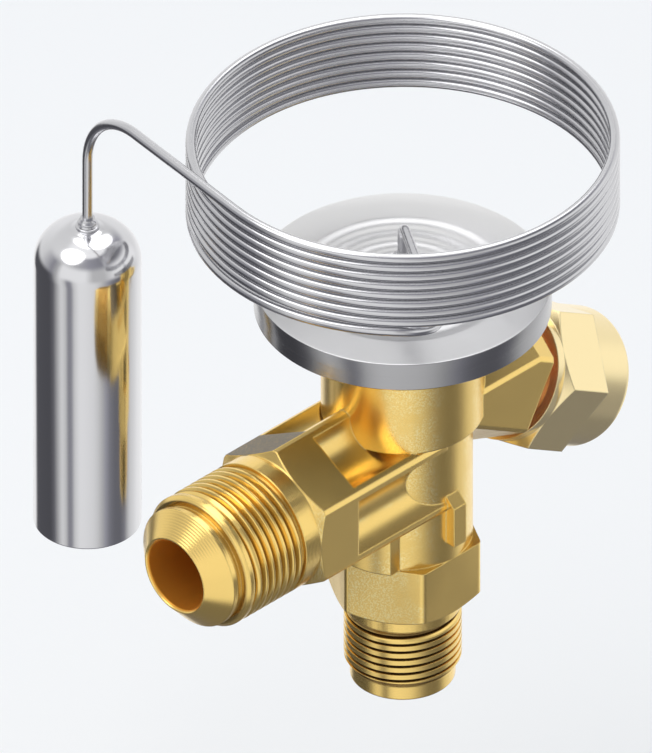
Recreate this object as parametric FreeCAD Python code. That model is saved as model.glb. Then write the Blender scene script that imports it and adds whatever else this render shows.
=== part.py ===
# Thermostatic expansion valve with flare ports, a diaphragm head, a coiled capillary and a sensing bulb
# All sizes are in millimetres
# The origin is on the inlet axis at the inlet port's end, +Z runs up to the head and the outlet points to -X
import math
import os

import FreeCAD
import Part

# Driving dimensions: inlet port and lower hexagon
inlet_thread_r = 11.1
inlet_land_r = 9.95
inlet_land_top = 2.9
inlet_root_r = 10.3
inlet_first_groove = 5.0
inlet_pitch = 1.64
inlet_grooves = 7
inlet_hex_bottom = 19.3
inlet_hex_top = 32.0
inlet_hex_flats = 26.4
inlet_hex_round = 1.3
inlet_bore_r = 8.05

# Driving dimensions: column, neck and small lug
column_r = 13.2
boss_r = 15.1
boss_half_width = 8.92
neck_r = 15.4
neck_rise = 8.5
neck_height = 23.0
lug_width = 3.2
lug_reach = 15.3
lug_bottom = 36.4
lug_top = 45.0

# Driving dimensions: outlet arm, measured from the inlet axis towards -X
outlet_height = 51.7
outlet_end = 60.6
outlet_bore_r = 7.2
outlet_bore_edge = 0.5
outlet_lip_r = 7.8
outlet_cone_length = 3.85
outlet_land_r = 12.1
outlet_land_length = 1.15
outlet_groove_r = 11.5
outlet_groove_length = 1.3
outlet_collar_edge = 0.75
outlet_thread_r = 13.45
outlet_root_r = 12.6
outlet_first_groove = 39.3
outlet_pitch = 1.78
outlet_grooves = 7
outlet_hex_outer = 35.3
outlet_hex_inner = 25.1
outlet_hex_flats = 27.0
outlet_hex_cut = 0.6
arm_start = 1.5
arm_channel_r = 6.95
arm_channel_depth = 3.8
outlet_duct_r = 4.7

# Driving dimensions: spindle housing, along an axis that leaves the neck 30 degrees below the horizontal
spindle_slope = 30.0
apex_rise = 19.3
housing_flats = 25.8
housing_cut = 0.6
eaves_rise = 14.1
housing_end = 27.5
spigot_r = 10.8
spigot_length = 2.5
stub_r = 9.0
stub_length = 9.5
packing_bore_r = 5.5
packing_depth = 8.0

# Driving dimensions: seal cap
cap_flange_r = 13.3
cap_flange_length = 1.5
cap_hex_flats = 26.6
cap_hex_length = 11.8
cap_hex_turn = 20.0
cap_length = 22.6
cap_edge = 1.6
cap_cavity_r = 6.6

# Driving dimensions: power element
head_r = 28.0
head_band = 6.2
head_plate = 1.1
head_cavity_r = 23.0
head_rim_edge = 0.5
head_ridge_r = 19.9
head_shank_r = 12.0
head_shank_length = 7.4
head_shank_bore = 8.5
head_boss_r = 4.4
head_boss_height = 1.5
ferrule_r = 3.4
ferrule_height = 3.8
gasket_thickness = 0.3
diaphragm_thickness = 0.3
diaphragm_crest = 0.5

# Driving dimensions: valve group
rod_r = 1.6
cone_r = 3.9
seat_hole_r = 2.6
seat_chamfer = 0.6
seat_plate = 3.0
cage_height = 11.4
cage_r = 7.6
cage_wall = 1.8
seal_thickness = 0.6
chamber_drop = 6.7
web_thickness = 2.0
outlet_chamber_r = 7.0
thrust_plate_r = 14.0
thrust_plate_thickness = 0.8
thrust_boss_r = 3.2
thrust_boss_length = 3.2

# Driving dimensions: superheat adjustment
ring_teeth = 24
pinion_teeth = 8
ring_pitch_r = 10.0
ring_hole_r = 6.2
tooth_length = 3.3
setting_travel = 1.5
post_r = 3.2
spring_mean_r = 4.9
spring_wire_r = 0.55
spring_turns = 6.0
shaft_r = 2.6
square_size = 3.6

# Driving dimensions: capillary and bulb
capillary_r = 1.0
capillary_corner_r = 1.03
capillary_sides = 10
coil_r = 39.8
coil_pitch = 2.07
coil_rise = 3.35
coil_turns = 8.137
coil_top_angle = 172.9
coil_droop = 0.9
leg_rise = 7.5
leg_bend = 3.0
leg_heading = 237.0
join_bend = 8.0
run_length = 45.15
run_rise = 0.5
run_bend = 14.2
bulb_r = 10.15
bulb_bottom = 26.7
bulb_top = 93.8
bulb_shoulder = 7.4
bulb_edge = 0.35
bulb_crown = 0.2
bulb_ferrule_r = 1.9
bulb_ferrule_height = 2.1

# Clearances
running = 0.05
slip = 0.02
end_play = 0.05

# Worked-out heights and lengths
chamber_bottom = outlet_height - chamber_drop
neck_bottom = outlet_height + neck_rise
neck_top = neck_bottom + neck_height
spindle_apex = outlet_height + apex_rise
housing_eaves = outlet_height + eaves_rise
neck_bore_r = head_shank_r + running
head_bottom = neck_top + gasket_thickness
head_top = head_bottom + head_band
diaphragm_bottom = head_bottom + (head_band - diaphragm_thickness) / 2.0
diaphragm_top = diaphragm_bottom + diaphragm_thickness
shank_bottom = head_bottom - head_shank_length
web_bottom = chamber_bottom + 2.0 * (outlet_height - chamber_bottom) - 1.8
web_top = web_bottom + web_thickness
chamber_r = neck_bore_r - 0.65
cage_top = chamber_bottom - seal_thickness
cage_bottom = cage_top - cage_height
cage_pocket_r = cage_r + running
inlet_bore_depth = cage_bottom - 0.5
leg_height = head_top + head_boss_height + ferrule_height + leg_rise
coil_bottom = leg_height + coil_rise
shelf = head_bottom + head_plate
thrust_top = diaphragm_bottom
thrust_bottom = thrust_top - thrust_plate_thickness
seat_edge = cage_top - seat_plate
apex = FreeCAD.Vector(0.0, 0.0, spindle_apex)
origin = FreeCAD.Vector(0.0, 0.0, 0.0)
cap_start = housing_end + spigot_length + 0.6
stub_end = housing_end + stub_length
packing_floor = stub_end - packing_depth

# Bevel gear pair: both pitch cones share the apex where the spindle axis meets the valve axis
shaft_angle = math.radians(90.0 - spindle_slope)
gear_ratio = ring_teeth / pinion_teeth
pinion_cone = math.atan2(math.sin(shaft_angle), gear_ratio + math.cos(shaft_angle))
ring_cone = shaft_angle - pinion_cone
cone_distance = ring_pitch_r / math.sin(ring_cone)
module = 2.0 * ring_pitch_r / ring_teeth
addendum_angle = math.atan2(0.7 * module, cone_distance)
dedendum_angle = math.atan2(1.1 * module, cone_distance)


def placed(shape, at, turn_about_y=0.0):
    """The shape turned about Y at the origin and then moved to its place."""
    turn = FreeCAD.Rotation(FreeCAD.Vector(0, 1, 0), turn_about_y)
    moved = shape.copy()
    moved.Placement = FreeCAD.Placement(at, turn)
    return moved


def turned(profile):
    """A solid of revolution about Z from (radius, height) corners."""
    corners = [FreeCAD.Vector(r, 0, z) for r, z in profile]
    outline = Part.makePolygon(corners + [corners[0]])
    return Part.Face(outline).revolve(origin, FreeCAD.Vector(0, 0, 1), 360)


def rod(radius, low, high):
    return Part.makeCylinder(radius, high - low, FreeCAD.Vector(0, 0, low))


def ring(outer, inner, low, high):
    return rod(outer, low, high).cut(rod(inner, low - 1.0, high + 1.0))


def hexagon(flats, low, high, turn=0.0):
    """A hexagonal prism along Z with a corner on +X when it isn't turned."""
    corner_r = flats / math.sqrt(3.0)
    corners = []
    for step in range(7):
        angle = math.radians(60.0 * step + turn)
        corners.append(FreeCAD.Vector(corner_r * math.cos(angle), corner_r * math.sin(angle), low))
    return Part.Face(Part.makePolygon(corners)).extrude(FreeCAD.Vector(0, 0, high - low))


def edged_hexagon(flats, low, high, cut):
    """The same prism with a narrow flat in place of each long edge."""
    envelope = 2.0 * flats / math.sqrt(3.0) - cut
    return hexagon(flats, low, high).common(hexagon(envelope, low - 1.0, high + 1.0, 30.0))


def thread_grooves(crest_r, root_r, start, pitch, count, mouth, floor):
    """Corners of ring grooves that stand for a thread; mouth and floor are their widths as shares of the pitch."""
    corners = []
    for step in range(count):
        low = start + step * pitch
        flank = 0.5 * (mouth - floor) * pitch
        high = low + mouth * pitch
        corners += [(crest_r, low), (root_r, low + flank), (root_r, high - flank), (crest_r, high)]
    return corners


def chamfer_cone(flats, end, towards, far):
    """A turned envelope that takes 30 degree chamfers off a hexagon's corners at one end."""
    face_r = 0.48 * flats
    reach = 0.8 * flats
    rise = (reach - face_r) * math.tan(math.radians(30.0))
    return turned([(0, end), (face_r, end), (reach, end + towards * rise), (reach, far), (0, far)])


def along_outlet(shape):
    """Local +Z becomes -X at the outlet's height, local +X becomes up."""
    return placed(shape, FreeCAD.Vector(0, 0, outlet_height), -90.0)


def along_spindle(shape):
    """Local +Z becomes the spindle axis, measured from the apex."""
    return placed(shape, apex, 90.0 + spindle_slope)


# Straight facets joined by mitres, so that every facet is flat and the section keeps its size round each bend
def faceted_tube(path, radius, sides):
    first = (path[1] - path[0]).normalize()
    across = FreeCAD.Vector(0, 0, 1) if abs(first.z) < 0.7 else FreeCAD.Vector(1, 0, 0)
    side = first.cross(across).normalize()
    up = side.cross(first).normalize()
    section = []
    for step in range(sides):
        angle = 2.0 * math.pi * (step + 0.5) / sides
        section.append(path[0] + side * (radius * math.cos(angle)) + up * (radius * math.sin(angle)))
    sections = [section]
    for index in range(1, len(path)):
        inward = (path[index] - path[index - 1]).normalize()
        normal = inward
        if index < len(path) - 1:
            outward = (path[index + 1] - path[index]).normalize()
            normal = (inward + outward).normalize()
        section = []
        for corner in sections[-1]:
            distance = (path[index] - corner).dot(normal) / inward.dot(normal)
            section.append(corner + inward * distance)
        sections.append(section)
    faces = []
    for near, far in zip(sections[:-1], sections[1:]):
        for step in range(sides):
            after = (step + 1) % sides
            corners = [near[step], near[after], far[after], far[step], near[step]]
            faces.append(Part.Face(Part.makePolygon(corners)))
    for end in (sections[0], sections[-1]):
        faces.append(Part.Face(Part.makePolygon(end + [end[0]])))
    shell = Part.makeShell(faces)
    shell.sewShape()
    solid = Part.makeSolid(shell)
    if solid.Volume < 0:
        solid.reverse()
    return solid


def spot(radius, angle, height):
    turn = math.radians(angle)
    return FreeCAD.Vector(radius * math.cos(turn), radius * math.sin(turn), height)


# Brass body: outside first
def housing_outside():
    """Hexagonal spindle housing whose roof runs level before it follows the inclined axis down."""
    half = housing_flats / 2.0
    ridge = housing_eaves + half / math.sqrt(3.0)
    across = housing_cut * math.cos(math.radians(30.0))
    rise = housing_cut * math.sin(math.radians(30.0))
    prism = along_spindle(edged_hexagon(housing_flats, 4.0, housing_end, housing_cut))
    gable = [(half, neck_bottom - 30.0), (half, housing_eaves - housing_cut), (half - across, housing_eaves + rise)]
    gable.append((across, ridge - rise))
    gable += [(-y, z) for y, z in reversed(gable)]
    corners = [FreeCAD.Vector(0.0, y, z) for y, z in gable]
    outline = Part.makePolygon(corners + [corners[0]])
    roof = Part.Face(outline).extrude(FreeCAD.Vector(3.0 * half, 0, 0))
    return prism.common(roof)


def arm_outside():
    """Hexagonal arm with a hollow channel along each face between the outlet hexagon and the column."""
    prism = edged_hexagon(outlet_hex_flats, arm_start, outlet_hex_outer, outlet_hex_cut)
    prism = prism.common(chamfer_cone(outlet_hex_flats, outlet_hex_outer, -1.0, 0.0))
    centre_r = outlet_hex_flats / 2.0 + arm_channel_r - arm_channel_depth
    channels = []
    for step in range(6):
        channel = rod(arm_channel_r, 0.0, outlet_hex_inner)
        channel.translate(FreeCAD.Vector(centre_r, 0, 0))
        channel.rotate(origin, FreeCAD.Vector(0, 0, 1), 30.0 + 60.0 * step)
        channels.append(channel)
    return prism.cut(channels)


def outlet_outside():
    cone_base = outlet_end - outlet_cone_length
    land_end = cone_base - outlet_land_length
    groove_end = land_end - outlet_groove_length
    collar = groove_end - outlet_collar_edge
    profile = [
        (0, arm_start), (outlet_duct_r + 3.0, arm_start), (outlet_duct_r + 3.0, outlet_hex_outer - 1.0),
        (outlet_thread_r, outlet_hex_outer - 1.0),
    ]
    profile += thread_grooves(outlet_thread_r, outlet_root_r, outlet_first_groove, outlet_pitch, outlet_grooves, 0.6, 0.1)
    profile += [
        (outlet_thread_r, collar), (outlet_thread_r - outlet_collar_edge, groove_end), (outlet_groove_r, groove_end),
        (outlet_groove_r, land_end), (outlet_land_r, land_end), (outlet_land_r, cone_base),
        (outlet_lip_r, outlet_end), (0, outlet_end),
    ]
    return along_outlet(turned(profile).fuse(arm_outside()))


def lug():
    front = -lug_reach
    back = -column_r + 2.0
    slope = lug_top + (back - front)
    corners = [(front, lug_bottom), (front, lug_top), (back, slope), (back, lug_bottom)]
    points = [FreeCAD.Vector(-lug_width / 2.0, y, z) for y, z in corners]
    outline = Part.makePolygon(points + [points[0]])
    return Part.Face(outline).extrude(FreeCAD.Vector(lug_width, 0, 0))


def arm_boss():
    """The thicker side of the column under the outlet arm, with flat sides."""
    boss = rod(boss_r, inlet_hex_top, outlet_height)
    sides = Part.makeBox(boss_r + 1.0, 2.0 * boss_half_width, outlet_height,
                         FreeCAD.Vector(-boss_r - 1.0, -boss_half_width, 0))
    return boss.common(sides)


def lower_hexagon():
    prism = hexagon(inlet_hex_flats, inlet_hex_bottom, inlet_hex_top)
    height = inlet_hex_top - inlet_hex_bottom
    uprights = [edge for edge in prism.Edges if abs(edge.Length - height) < 0.01 and edge.BoundBox.ZLength > 1.0]
    prism = prism.makeFillet(inlet_hex_round, uprights)
    return prism.common(chamfer_cone(inlet_hex_flats, inlet_hex_bottom, 1.0, inlet_hex_top))


def body_outside():
    profile = [(0, 0), (inlet_land_r, 0), (inlet_land_r, inlet_land_top)]
    profile.append((inlet_thread_r, inlet_land_top + inlet_thread_r - inlet_land_r))
    profile += thread_grooves(inlet_thread_r, inlet_root_r, inlet_first_groove, inlet_pitch, inlet_grooves, 0.5, 0.16)
    profile += [(inlet_thread_r, inlet_hex_top), (0, inlet_hex_top)]
    port = turned(profile)
    column = rod(column_r, inlet_hex_top - 1.0, neck_bottom + 1.0)
    neck = rod(neck_r, neck_bottom, neck_top)
    spigot = along_spindle(rod(spigot_r, housing_end - 6.0, housing_end + spigot_length))
    stub = along_spindle(rod(stub_r, housing_end, stub_end))
    pieces = [lower_hexagon(), column, neck, arm_boss(), lug(), outlet_outside(), housing_outside(), spigot, stub]
    return port.fuse(pieces)


# Brass body: passages, pockets and bores
def valve_body():
    body = body_outside()
    pinion_pocket_r = cone_distance * math.sin(pinion_cone + addendum_angle) + 0.45
    pocket_end = cone_distance + 1.4
    cuts = [
        port_bore(),
        rod(cage_pocket_r, inlet_bore_depth, chamber_bottom),
        rod(outlet_chamber_r, chamber_bottom - 1.0, web_bottom),
        rod(rod_r + running, web_bottom - 1.0, web_top + 20.0),
        rod(neck_bore_r, shank_bottom - 0.3, neck_top + 1.0),
        along_outlet(rod(outlet_duct_r, 0.0, outlet_end)),
        along_outlet(outlet_bore()),
        along_spindle(rod(pinion_pocket_r, cone_distance - tooth_length - 4.0, pocket_end)),
        along_spindle(rod(shaft_r + running, pocket_end - 1.0, stub_end)),
        along_spindle(rod(packing_bore_r, packing_floor, stub_end + 1.0)),
    ]
    well = rod(chamber_r, web_top, neck_top).cut(guide_post())
    return body.cut(cuts + [well])


def port_bore():
    """Bore that narrows by a small lead-in to the pocket of the orifice cage."""
    step = inlet_bore_r - cage_pocket_r
    return turned([
        (0, -1.0), (inlet_bore_r, -1.0), (inlet_bore_r, inlet_bore_depth), (cage_pocket_r, inlet_bore_depth + step),
        (0, inlet_bore_depth + step),
    ])


def outlet_bore():
    """Bore from the duct to the flare seat, with a small chamfer at its mouth."""
    inner = outlet_hex_inner + 2.0
    edge_r = outlet_bore_r + outlet_bore_edge
    return turned([
        (0, inner), (outlet_bore_r, inner), (outlet_bore_r, outlet_end - outlet_bore_edge), (edge_r, outlet_end),
        (edge_r, outlet_end + 1.0), (0, outlet_end + 1.0),
    ])


def guide_post():
    """Post with two flats that keeps the spring seat from turning."""
    post = rod(post_r, web_top - 1.0, seat_plate_bottom() - setting_travel - 0.3)
    flats = Part.makeBox(4.0 * post_r, 1.5 * post_r, 40.0, FreeCAD.Vector(-2.0 * post_r, -0.75 * post_r, web_top - 2))
    return post.common(flats)


def ring_top():
    return spindle_apex - (cone_distance - tooth_length) * math.cos(ring_cone - dedendum_angle)


def seat_bottom():
    return web_top + setting_travel + 0.5


def seat_top():
    return ring_top() + 2.5 * setting_travel


def seat_plate_bottom():
    return seat_top() - 1.4


# A bevel tooth is a block whose eight corners lie on lines through the shared apex
def bevel_tooth(root_cone, tip_cone, root_half, tip_half):
    ends = []
    for distance in (cone_distance, cone_distance - tooth_length):
        corners = []
        for cone, half in ((root_cone, -root_half), (tip_cone, -tip_half), (tip_cone, tip_half), (root_cone, root_half)):
            across = distance * math.sin(cone)
            corners.append(FreeCAD.Vector(across * math.cos(half), across * math.sin(half), distance * math.cos(cone)))
        ends.append(Part.makePolygon(corners + [corners[0]]))
    return Part.makeLoft(ends, True, True)


def bevel_teeth(count, pitch_cone, phase):
    """Teeth about +Z with the apex at the origin."""
    root_cone = pitch_cone - dedendum_angle
    tip_cone = pitch_cone + addendum_angle
    pitch_half = 0.25 * math.pi / count * 1.72
    lean = math.tan(math.radians(22.0)) / math.sin(pitch_cone)
    tooth = bevel_tooth(root_cone - 0.012, tip_cone, pitch_half + lean * dedendum_angle,
                        pitch_half - lean * addendum_angle)
    teeth = []
    for step in range(count):
        copy = tooth.copy()
        copy.rotate(origin, FreeCAD.Vector(0, 0, 1), 360.0 * (step + phase) / count)
        teeth.append(copy)
    return teeth


def adjusting_ring():
    """Bevel ring gear that lies on the chamber floor and lifts the spring seat by its inner thread."""
    root = ring_cone - dedendum_angle
    outer = cone_distance
    inner = cone_distance - tooth_length
    blank = turned([
        (ring_hole_r, spindle_apex - web_top), (outer * math.sin(root), spindle_apex - web_top),
        (outer * math.sin(root), outer * math.cos(root)), (inner * math.sin(root), inner * math.cos(root)),
        (ring_hole_r, inner * math.cos(root)),
    ])
    gear = blank.fuse(bevel_teeth(ring_teeth, ring_cone, 0.0))
    return placed(gear, apex, 180.0)


def setting_spindle():
    """Spindle with a bevel pinion at its inner end and a square for a key at its outer end."""
    root = pinion_cone - dedendum_angle
    inner = cone_distance - tooth_length
    collar_r = cone_distance * math.sin(pinion_cone + addendum_angle)
    collar_start = cone_distance + 0.15
    collar_end = cone_distance + 1.4 - end_play
    square_start = stub_end - 1.5
    square_end = stub_end + 4.5
    shaft = turned([
        (0, inner * math.cos(root)), (inner * math.sin(root), inner * math.cos(root)),
        (cone_distance * math.sin(root), cone_distance * math.cos(root)),
        (cone_distance * math.sin(root), collar_start), (collar_r, collar_start), (collar_r, collar_end),
        (shaft_r, collar_end), (shaft_r, square_start), (0, square_start),
    ])
    square = Part.makeBox(square_size, square_size, square_end - square_start + 0.5,
                          FreeCAD.Vector(-square_size / 2, -square_size / 2, square_start - 0.5))
    pinion = bevel_teeth(pinion_teeth, pinion_cone, 0.5)
    return along_spindle(shaft.fuse(pinion + [square]))


def spring_seat():
    """Sleeve screwed in the ring, with flats inside that run on the guide post."""
    sleeve = rod(ring_hole_r - running, seat_bottom(), seat_top())
    keyway = rod(post_r + running, seat_bottom() - 1.0, seat_plate_bottom())
    flats = Part.makeBox(4.0 * post_r, 1.5 * post_r + 2.0 * running, 40.0,
                         FreeCAD.Vector(-2.0 * post_r, -0.75 * post_r - running, seat_bottom() - 2.0))
    return sleeve.cut([keyway.common(flats), rod(rod_r + 0.2, seat_bottom(), seat_top() + 1.0)])


def superheat_spring():
    low = seat_top() + spring_wire_r
    high = thrust_bottom - spring_wire_r
    steps = 18
    dead = 0.75
    total = int(spring_turns * steps)
    rise = high - low - 2.0 * spring_wire_r * 1.05
    path = []
    for index in range(total + 1):
        turns = index / steps
        share = min(max((turns - dead) / (spring_turns - 2.0 * dead), 0.0), 1.0)
        closing = 2.1 * spring_wire_r * (min(turns, dead) + max(turns - spring_turns + dead, 0.0)) / (2.0 * dead)
        path.append(spot(spring_mean_r, 360.0 * turns, low + rise * share + closing))
    return faceted_tube(path, spring_wire_r, 6)


# Valve group and orifice
def orifice_cage():
    chamfer_r = seat_hole_r + seat_chamfer
    return turned([
        (cage_r - cage_wall, cage_bottom), (cage_r, cage_bottom), (cage_r, cage_top), (seat_hole_r, cage_top),
        (seat_hole_r, seat_edge + seat_chamfer), (chamfer_r, seat_edge), (cage_r - cage_wall, seat_edge),
    ])


def orifice_seal():
    return ring(cage_r - 0.1, outlet_chamber_r - 0.6, cage_top, chamber_bottom)


def valve_cone():
    contact = seat_hole_r + seat_chamfer + seat_edge - slip
    nose_r = rod_r + 0.4
    solid = turned([
        (0, contact - cone_r - 2.4), (cone_r, contact - cone_r - 2.4), (cone_r, contact - cone_r),
        (nose_r, contact - nose_r), (0, contact - nose_r),
    ])
    return solid.cut(rod(rod_r, contact - cone_r - 1.0, contact))


def push_rod():
    contact = seat_hole_r + seat_chamfer + seat_edge - slip
    return rod(rod_r, contact - cone_r - 1.0, thrust_bottom)


def thrust_plate():
    plate = turned([
        (0, thrust_bottom - thrust_boss_length), (thrust_boss_r, thrust_bottom - thrust_boss_length),
        (thrust_boss_r, thrust_bottom), (thrust_plate_r, thrust_bottom), (thrust_plate_r, thrust_top), (0, thrust_top),
    ])
    return plate.cut(rod(rod_r, thrust_bottom - thrust_boss_length - 1.0, thrust_bottom))


# Power element
def head_gasket():
    return ring(neck_r - 0.4, neck_bore_r + 0.2, neck_top, head_bottom)


def head_base():
    return turned([
        (head_shank_bore, shank_bottom), (head_shank_r, shank_bottom), (head_shank_r, head_bottom),
        (head_r - head_rim_edge, head_bottom), (head_r, head_bottom + head_rim_edge), (head_r, diaphragm_bottom),
        (head_cavity_r - 1.0, diaphragm_bottom), (head_cavity_r - 1.0, shelf), (head_shank_bore, shelf),
    ])


def diaphragm():
    crest_r = 0.68 * head_r
    crest_half = 2.0
    levels = [(0, 0), (crest_r - crest_half, 0), (crest_r, diaphragm_crest), (crest_r + crest_half, 0)]
    levels.append((head_r, 0))
    low = [(r, diaphragm_bottom + z) for r, z in levels]
    high = [(r, diaphragm_top + z) for r, z in reversed(levels)]
    return turned(low + high)


def head_cover():
    ceiling = head_top - head_plate
    hole = capillary_corner_r + slip
    boss_top = head_top + head_boss_height
    profile = [
        (hole, boss_top), (hole, ceiling), (head_cavity_r, ceiling), (head_cavity_r, diaphragm_top),
        (head_r, diaphragm_top), (head_r, head_top - head_rim_edge), (head_r - head_rim_edge, head_top),
    ]
    for crest_r, width, height in ((head_ridge_r, 1.3, 0.7), (15.6, 1.2, 0.45), (11.8, 1.2, 0.45), (8.0, 1.2, 0.45)):
        profile += [(crest_r + width, head_top), (crest_r + 0.35 * width, head_top + height)]
        profile += [(crest_r - 0.35 * width, head_top + height), (crest_r - width, head_top)]
    profile += [(head_boss_r, head_top), (head_boss_r, boss_top - 0.4), (head_boss_r - 0.4, boss_top)]
    return turned(profile)


def head_ferrule():
    low = head_top + head_boss_height
    high = low + ferrule_height
    hole = capillary_corner_r + slip
    return turned([
        (hole, low), (ferrule_r, low), (ferrule_r, low + 0.4 * ferrule_height), (ferrule_r - 1.0, high - 0.4),
        (ferrule_r - 1.4, high), (hole, high),
    ])


# Spindle sealing and cap, in heights along the spindle axis
def packing_washer():
    return along_spindle(ring(packing_bore_r - running, shaft_r + running, packing_floor, packing_floor + 0.6))


def spindle_packing():
    low = packing_floor + 0.6
    return along_spindle(ring(packing_bore_r - slip, shaft_r + slip, low, low + 2.4))


def gland_nut():
    low = packing_floor + 3.0
    high = stub_end + 0.6
    nut = ring(packing_bore_r - running, shaft_r + 2.0 * running, low, high)
    slot = Part.makeBox(4.0 * packing_bore_r, 1.4, 3.0, FreeCAD.Vector(-2.0 * packing_bore_r, -0.7, high - 1.4))
    return along_spindle(nut.cut(slot))


def cap_gasket():
    low = housing_end + spigot_length
    return along_spindle(ring(spigot_r + 0.2, stub_r + running, low, cap_start))


def seal_cap():
    flange_end = cap_start + cap_flange_length
    hex_start = flange_end + 0.2
    hex_end = hex_start + cap_hex_length
    end = cap_start + cap_length
    flange = rod(cap_flange_r, cap_start, flange_end)
    grip = hexagon(cap_hex_flats, hex_start, hex_end, cap_hex_turn)
    grip = grip.common(chamfer_cone(cap_hex_flats, hex_start, 1.0, hex_end))
    barrel_r = 0.5 * cap_hex_flats
    barrel = rod(barrel_r, cap_start, end)
    edge = [e for e in barrel.Edges if abs(e.CenterOfMass.z - end) < 0.01 and e.Length > barrel_r]
    barrel = barrel.makeFillet(cap_edge, edge)
    cap = barrel.fuse([flange, grip])
    inside = [
        rod(stub_r + running, cap_start - 1.0, stub_end + 0.8),
        rod(cap_cavity_r, cap_start, stub_end + 6.0),
    ]
    return along_spindle(cap.cut(inside))


# Capillary: one bent tube from the head, round the coil and along to the bulb
def capillary_path():
    segments = 40
    corner_r = coil_r / math.cos(math.pi / segments)
    path = [FreeCAD.Vector(0, 0, head_top - head_plate - 0.5)]
    out = spot(1.0, leg_heading, 0.0)
    for step in range(7):
        angle = math.radians(15.0 * step)
        reach = leg_bend * (1.0 - math.cos(angle))
        path.append(out * reach + FreeCAD.Vector(0, 0, leg_height - leg_bend + leg_bend * math.sin(angle)))
    centre_r = coil_r - join_bend
    swing = math.degrees(math.asin(join_bend / centre_r))
    join_angle = leg_heading - swing
    centre = spot(centre_r, join_angle, 0.0)
    turn = 90.0 + swing
    for step in range(13):
        share = step / 12.0
        ease = share * share * (3.0 - 2.0 * share)
        corner = spot(join_bend, leg_heading + 90.0 - turn * share, leg_height + (coil_bottom - leg_height) * ease)
        path.append(centre + corner)
    total = int(round(coil_turns * segments))
    sweep = join_angle - coil_top_angle + 360.0 * 8.0
    for index in range(1, total + 1):
        share = index / total
        height = coil_bottom + sweep / 360.0 * coil_pitch * share
        sag = min(share * total / (0.45 * segments), 1.0)
        height -= coil_droop * math.sin(math.pi * sag) ** 2
        path.append(spot(corner_r if index < total else coil_r, join_angle - sweep * share, height))
    top = path[-1]
    ahead = spot(1.0, coil_top_angle - 90.0, 0.0)
    start = top + ahead * (run_length - run_bend) + FreeCAD.Vector(0, 0, run_rise)
    for step in range(9):
        angle = math.radians(90.0 * step / 8.0)
        down = FreeCAD.Vector(0, 0, -run_bend * (1.0 - math.cos(angle)))
        path.append(start + ahead * (run_bend * math.sin(angle)) + down)
    path.append(FreeCAD.Vector(path[-1].x, path[-1].y, bulb_top))
    return path


def capillary_tube():
    return faceted_tube(capillary_path(), capillary_corner_r, capillary_sides)


def bulb_place():
    last = capillary_path()[-1]
    return FreeCAD.Vector(last.x, last.y, 0.0)


def sensing_bulb():
    """Closed steel bulb, one solid because nothing of its inside can be seen."""
    side = bulb_r - bulb_shoulder
    knee = bulb_top - bulb_crown - bulb_shoulder
    bend = math.sqrt(0.5)
    start = FreeCAD.Vector(bulb_r, 0, knee)
    middle = FreeCAD.Vector(side + bulb_shoulder * bend, 0, knee + bulb_shoulder * bend)
    end = FreeCAD.Vector(side, 0, bulb_top - bulb_crown)
    edges = [
        Part.makeLine(FreeCAD.Vector(0, 0, bulb_bottom), FreeCAD.Vector(bulb_r - bulb_edge, 0, bulb_bottom)),
        Part.makeLine(FreeCAD.Vector(bulb_r - bulb_edge, 0, bulb_bottom),
                      FreeCAD.Vector(bulb_r, 0, bulb_bottom + bulb_edge)),
        Part.makeLine(FreeCAD.Vector(bulb_r, 0, bulb_bottom + bulb_edge), start),
        Part.Arc(start, middle, end).toShape(),
        Part.makeLine(end, FreeCAD.Vector(0.86 * side, 0, bulb_top)),
        Part.makeLine(FreeCAD.Vector(0.86 * side, 0, bulb_top), FreeCAD.Vector(0, 0, bulb_top)),
        Part.makeLine(FreeCAD.Vector(0, 0, bulb_top), FreeCAD.Vector(0, 0, bulb_bottom)),
    ]
    outline = Part.Wire(edges)
    solid = Part.Face(outline).revolve(origin, FreeCAD.Vector(0, 0, 1), 360)
    return placed(solid, bulb_place())


def bulb_ferrule():
    hole = capillary_corner_r + slip
    high = bulb_top + bulb_ferrule_height
    solid = turned([
        (hole, bulb_top), (bulb_ferrule_r + 0.4, bulb_top), (bulb_ferrule_r + 0.4, bulb_top + 0.5),
        (bulb_ferrule_r, bulb_top + 0.9), (bulb_ferrule_r - 0.4, high), (hole, high),
    ])
    return placed(solid, bulb_place())


nodes = {
    "valve_body": valve_body,
    "orifice_cage": orifice_cage,
    "orifice_seal": orifice_seal,
    "valve_cone": valve_cone,
    "push_rod": push_rod,
    "thrust_plate": thrust_plate,
    "superheat_spring": superheat_spring,
    "spring_seat": spring_seat,
    "adjusting_ring": adjusting_ring,
    "setting_spindle": setting_spindle,
    "packing_washer": packing_washer,
    "spindle_packing": spindle_packing,
    "gland_nut": gland_nut,
    "cap_gasket": cap_gasket,
    "seal_cap": seal_cap,
    "head_gasket": head_gasket,
    "head_base": head_base,
    "diaphragm": diaphragm,
    "head_cover": head_cover,
    "head_ferrule": head_ferrule,
    "capillary_tube": capillary_tube,
    "bulb_ferrule": bulb_ferrule,
    "sensing_bulb": sensing_bulb,
}

os.makedirs("parts", exist_ok=True)
for name, make in nodes.items():
    shape = make()
    if shape.ShapeType == "Compound" and len(shape.Solids) == 1:
        shape = shape.Solids[0]
    print(name, shape.ShapeType, len(shape.Solids), round(shape.Volume, 1), shape.isValid())
    shape.exportStep(os.path.join("parts", name + ".step"))
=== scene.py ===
import math

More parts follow.
